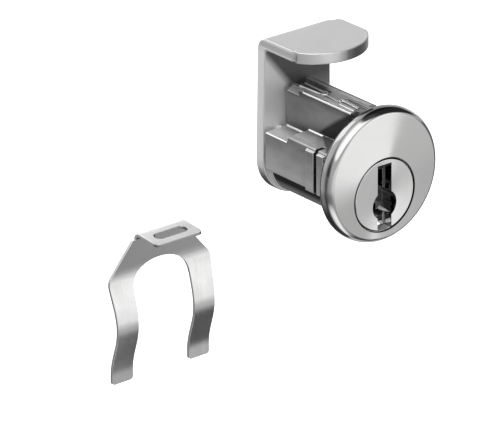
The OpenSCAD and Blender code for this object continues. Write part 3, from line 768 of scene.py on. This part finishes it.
def build_floor():
    """A plain pale floor, far enough below that no shadow reaches the view.

    The metal mirrors it, so its glow towards the metal follows the studio: bright in front,
    duller past an edge on the right, dark where the flags stand and close below the lock."""
    bpy.ops.object.select_all(action="DESELECT")
    bpy.ops.mesh.primitive_plane_add(size=FLOOR_SIZE, location=(0, 0, FLOOR_Z))
    floor = bpy.context.active_object
    floor.name = "pale_floor"
    f = Finish("pale floor", metallic=0.0)
    cloud = f.noise(f.place, 0.7)
    seen = f.add("ShaderNodeLightPath").outputs["Is Camera Ray"]
    pale = f.mixed(cloud, (*grey(0.80), 1), (*grey(0.83), 1))
    f.paint(f.mixed(seen, (0, 0, 0, 1), pale))
    f.rough(f.ranged(cloud, 0.0, 1.0, 0.9, 1.0))
    distance = f.length(f.place)
    across, along, _ = f.split(f.place)
    turn = f.math("ARCTAN2", across, f.times(along, -1.0))
    bearing = f.plus(f.math("DIVIDE", turn, 2 * math.pi), 0.5)

    def glow(levels):
        """A ramp of levels by bearing, the first of which is at the back."""
        ramp = f.add("ShaderNodeValToRGB")
        f.feed(ramp.inputs[0], bearing)
        stops = ramp.color_ramp.elements
        stops.remove(stops[1])
        stops[0].color = (*grey(levels[0][1]), 1)
        for degrees, level in levels[1:]:
            stops.new((degrees + 180) / 360).color = (*grey(level), 1)
        return ramp.outputs["Color"]

    dim = f.most(f.ranged(distance, *DIM_DISTANCES, DIM_SHARE, 1.0),
                 f.rise(bearing, *DIM_BEARINGS))
    far = f.mixed(1.0, glow(FAR_GLOW), dim, "MULTIPLY")
    mirrored = f.mixed(f.rise(distance, *NEAR_ENDS), glow(NEAR_GLOW), far)
    f.feed(f.shader.inputs["Emission Color"], f.mixed(seen, mirrored, (1, 1, 1, 1)))
    f.shader.inputs["Emission Strength"].default_value = 1.0
    floor.data.materials.append(f.material)


# The room's level and its parts: a direction, the cosines from it at which the part starts and
# is full, and the level there. Of the lit parts the brightest shows, and the flags dim it.
ROOM_LEVEL = 0.45
BACK_WALL = ((0, 1, 0), 0.35, 0.60, 1.2)
SOFT_BOX = ((-0.3, -0.3, 0.9), 0.66, 0.74, 1.2)
FRONT_WALL = ((0.5, -0.86, 0.05), 0.90, 0.96, 1.1)
UPPER_FLAG = ((0.66, 0.0, 0.75), 0.72, 0.80, 0.05)
LEFT_FLAG = ((-1.0, 0.3, 0.0), 0.85, 0.98, 0.20)

# Square lights: name, direction, distance, size and watts, all aimed at the same point
LIGHTS = (("key_light", (-0.35, -0.45, 0.80), 0.9, 0.40, 2.0),
          ("rear_fill", (-0.2, 0.9, 0.7), 1.0, 0.5, 1.0))
LIGHTS_AIM = Vector((-0.01, 0.008, 0.004))


def build_room():
    """A grey room, bright behind and in front, with a soft box above and two flags."""
    world = bpy.data.worlds.new("studio")
    bpy.context.scene.world = world
    world.use_nodes = True
    n = Nodes(world.node_tree)
    seen = n.add("ShaderNodeTexCoord").outputs["Generated"]

    def towards(direction, start, full, inside, outside):
        """A level outside a part of the room that turns into the level inside it."""
        dot = n.add("ShaderNodeVectorMath", operation="DOT_PRODUCT")
        n.feed(dot.inputs[0], seen)
        dot.inputs[1].default_value = Vector(direction).normalized()
        return n.ranged(dot.outputs["Value"], start, full, outside, inside)

    lit = n.most(towards(*BACK_WALL, ROOM_LEVEL), towards(*SOFT_BOX, 0.0),
                 towards(*FRONT_WALL, 0.0))
    level = n.times(lit, towards(*UPPER_FLAG, 1.0), towards(*LEFT_FLAG, 1.0))
    room = world.node_tree.nodes["Background"]
    white = n.add("ShaderNodeBackground")
    for background in (room, white):
        background.inputs["Color"].default_value = (1, 1, 1, 1)
    n.feed(room.inputs["Strength"], level)
    choose = n.add("ShaderNodeMixShader")
    n.feed(choose.inputs[0], n.add("ShaderNodeLightPath").outputs["Is Camera Ray"])
    n.feed(choose.inputs[1], room.outputs[0])
    n.feed(choose.inputs[2], white.outputs[0])
    n.feed(world.node_tree.nodes["World Output"].inputs["Surface"], choose.outputs[0])


def build_lights():
    """A soft key light from the upper left and a fill from behind."""
    for name, direction, distance, size, watts in LIGHTS:
        lamp = bpy.data.lights.new(name, "AREA")
        lamp.shape = "SQUARE"
        lamp.size = size
        lamp.energy = watts
        light = bpy.data.objects.new(name, lamp)
        away = Vector(direction).normalized()
        light.location = away * distance + LIGHTS_AIM
        light.rotation_euler = away.to_track_quat("Z", "Y").to_euler()
        bpy.context.scene.collection.objects.link(light)


# The photograph's view: the camera's angles round, up and rolled, its place and its lens in mm
AZIMUTH, ELEVATION, ROLL = (math.radians(degrees) for degrees in (-38.6, 23.2, -0.5))
CAMERA_PLACE = (-0.48448, -0.57445, 0.31740)
FOCAL_LENGTH, SENSOR_WIDTH = 350, 36


def build_camera():
    """The photograph's view: a long lens, high and to the left of the key side."""
    back = Vector((math.sin(AZIMUTH) * math.cos(ELEVATION),
                   -math.cos(AZIMUTH) * math.cos(ELEVATION), math.sin(ELEVATION)))
    level = Vector((math.cos(AZIMUTH), math.sin(AZIMUTH), 0))
    above = back.cross(level)
    right = level * math.cos(ROLL) + above * math.sin(ROLL)
    up = above * math.cos(ROLL) - level * math.sin(ROLL)
    lens = bpy.data.cameras.new("camera")
    lens.sensor_width = SENSOR_WIDTH
    lens.lens = FOCAL_LENGTH
    lens.clip_start = 0.05
    lens.clip_end = 30
    camera = bpy.data.objects.new("camera", lens)
    turn = Matrix((right, up, back)).transposed().to_4x4()
    camera.matrix_world = Matrix.Translation(CAMERA_PLACE) @ turn
    bpy.context.scene.collection.objects.link(camera)
    bpy.context.scene.camera = camera


build_edged_pieces()
build_beads()
build_pins()
build_floor()
build_room()
build_lights()
build_camera()
bpy.context.scene.view_settings.view_transform = "Standard"

bpy.context.view_layer.update()
